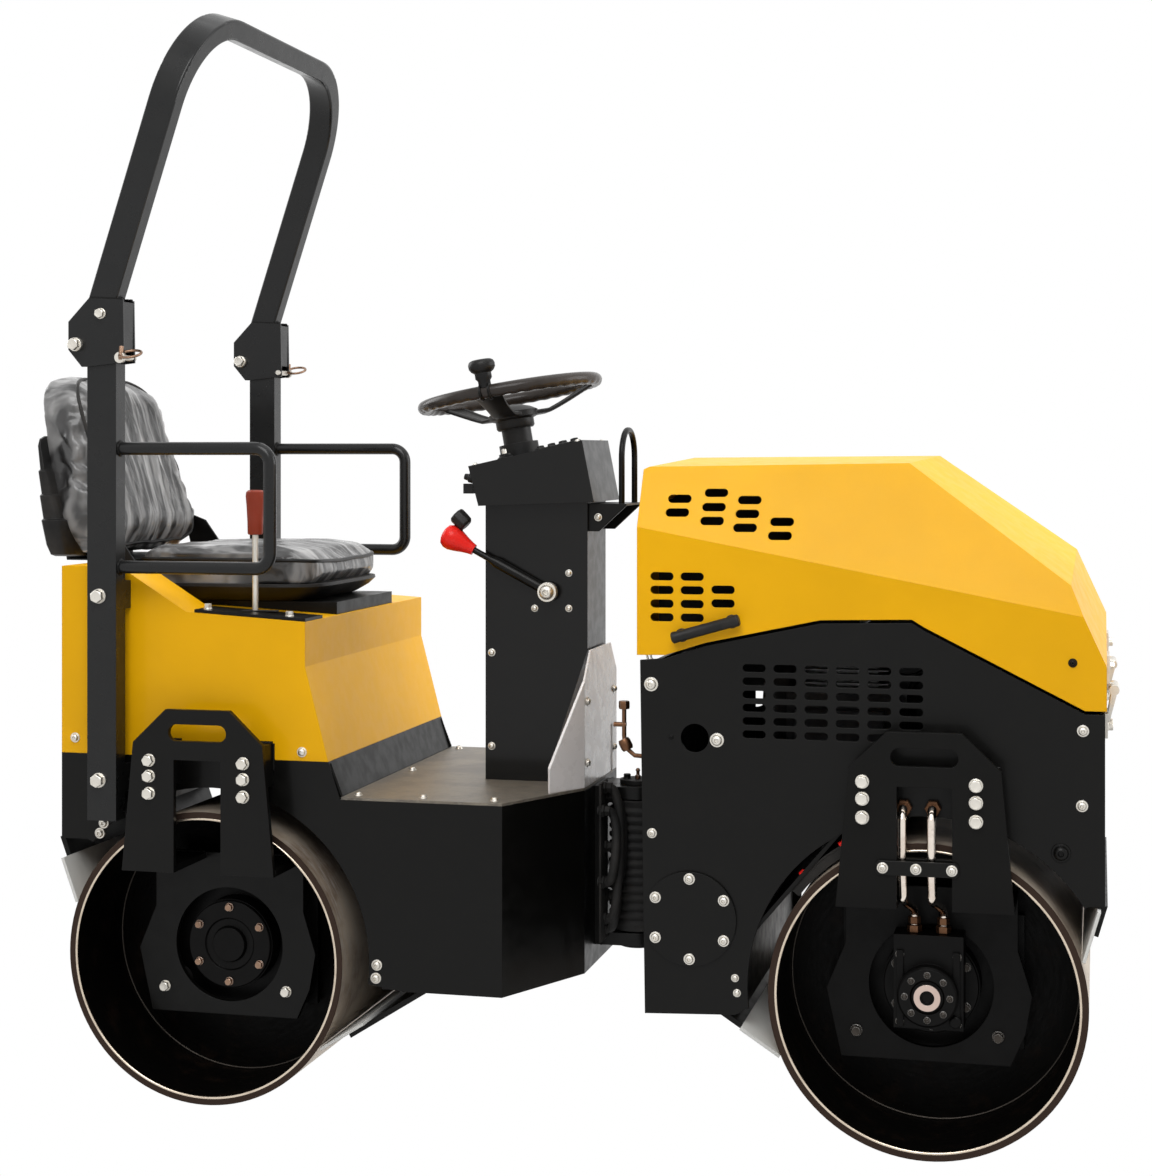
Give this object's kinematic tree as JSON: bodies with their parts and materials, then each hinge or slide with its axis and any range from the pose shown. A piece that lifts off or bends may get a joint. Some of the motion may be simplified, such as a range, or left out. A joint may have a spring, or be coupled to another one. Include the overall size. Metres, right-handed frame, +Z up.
{
  "type": "road roller",
  "caption": "Ride-on articulated tandem road roller with smooth steel drums, a folding roll-over hoop, a front-hinged engine hood and a steering linkage.",
  "frame": {"origin": "on the ground under the middle of the bounding box", "axes": "+X forward, towards the engine hood; +Y to the machine's left, along the drums' axles; +Z up"},
  "size_m": [2.154, 0.875, 2.1197],
  "materials": {
    "yellow_paint": "gloss",
    "black_paint": "satin",
    "drum_steel": "worn",
    "zinc_steel": "satin",
    "floor_steel": "worn",
    "seat_vinyl": "satin",
    "black_plastic": "matte",
    "mount_rubber": "matte",
    "blade_plastic": "matte",
    "engine_iron": "matte",
    "chrome_rod": "polished"
  },
  "bodies": {
    "rear_frame": {"rear_chassis": "black_paint", "floor_plate": "floor_steel", "seat_box": "yellow_paint", "seat_base": "black_paint", "seat_shell": "black_paint", "seat_cushion": "seat_vinyl", "seat_back": "seat_vinyl", "lever_plate": "black_paint", "brake_lever": "black_plastic", "rops_posts": "black_paint", "armrest_right": "black_paint", "armrest_left": "black_paint", "rear_carrier_right": "black_paint", "rear_carrier_left": "black_paint", "rear_hubs": "black_paint", "rear_rubber_mounts": "mount_rubber", "rear_scraper_blades": "blade_plastic", "console_column": "black_paint", "dash_box": "black_plastic", "front_shield": "black_paint", "steering_column": "black_plastic", "loop_handle": "black_paint", "control_levers": "black_plastic", "hitch_pin": "zinc_steel"},
    "rear_drum": {"rear_drum": "drum_steel"},
    "rops_hoop": {"rops_hoop": "black_paint", "hoop_pins": "zinc_steel"},
    "steering_wheel": {"steering_wheel": "black_plastic"},
    "steering_barrel": {"steering_barrel": "black_paint"},
    "steering_rod": {"steering_rod": "chrome_rod"},
    "hitch_yoke": {"hitch_yoke": "black_paint"},
    "front_frame": {"front_chassis": "black_paint", "front_cover_discs": "black_paint", "engine_block": "engine_iron", "front_carrier_right": "black_paint", "front_carrier_left": "black_paint", "front_hubs": "black_paint", "front_rubber_mounts": "mount_rubber", "drive_motor": "black_paint", "drive_pipes": "black_paint", "pipe_clamp": "black_paint", "front_scraper_blades": "blade_plastic", "hood_hinge_leaves": "zinc_steel"},
    "front_drum": {"front_drum": "drum_steel"},
    "hood": {"hood": "yellow_paint", "hood_handle": "black_paint", "hood_hinge_knuckles": "zinc_steel"}
  },
  "joints": [
    {"name": "rear_drum_roll", "type": "hinge", "parent": "rear_frame", "child": "rear_drum", "pos_m": [-0.622, 0, 0.28], "axis": [0, 1, 0], "continuous": true},
    {"name": "front_drum_roll", "type": "hinge", "parent": "front_frame", "child": "front_drum", "pos_m": [0.745, 0, 0.28], "axis": [0, 1, 0], "continuous": true},
    {"name": "hoop_fold", "type": "hinge", "parent": "rear_frame", "child": "rops_hoop", "pos_m": [-0.868, 0, 1.456], "axis": [0, -1, 0], "range_deg": [0, 105]},
    {"name": "articulation", "type": "hinge", "parent": "rear_frame", "child": "hitch_yoke", "pos_m": [0.143, 0, 0.43], "axis": [0, 0, 1], "range_deg": [-30, 30]},
    {"name": "oscillation", "type": "hinge", "parent": "hitch_yoke", "child": "front_frame", "pos_m": [0.233, 0, 0.43], "axis": [1, 0, 0], "range_deg": [-8, 8]},
    {"name": "hood_lift", "type": "hinge", "parent": "front_frame", "child": "hood", "pos_m": [1.068, 0, 0.826], "axis": [0, 1, 0], "range_deg": [0, 60]},
    {"name": "wheel_turn", "type": "hinge", "parent": "rear_frame", "child": "steering_wheel", "pos_m": [-0.123, 0, 1.367], "axis": [-0.1736, 0, 0.9848], "range_deg": [-640, 640]},
    {"name": "cylinder_swing", "type": "hinge", "parent": "rear_frame", "child": "steering_barrel", "pos_m": [-0.222, 0.118, 0.4], "axis": [0, 0, 1], "range_deg": [-6, 6]},
    {"name": "rod_stroke", "type": "slide", "parent": "steering_barrel", "child": "steering_rod", "axis": [0.9995, 0.032, 0], "range_m": [-0.07, 0.07]}
  ],
  "couplings": [
    {"joint": "wheel_turn", "follows": "articulation", "ratio": 21},
    {"joint": "cylinder_swing", "follows": "articulation", "ratio": 0.0215},
    {"joint": "rod_stroke", "follows": "articulation", "m_per_rad": -0.1242}
  ]
}
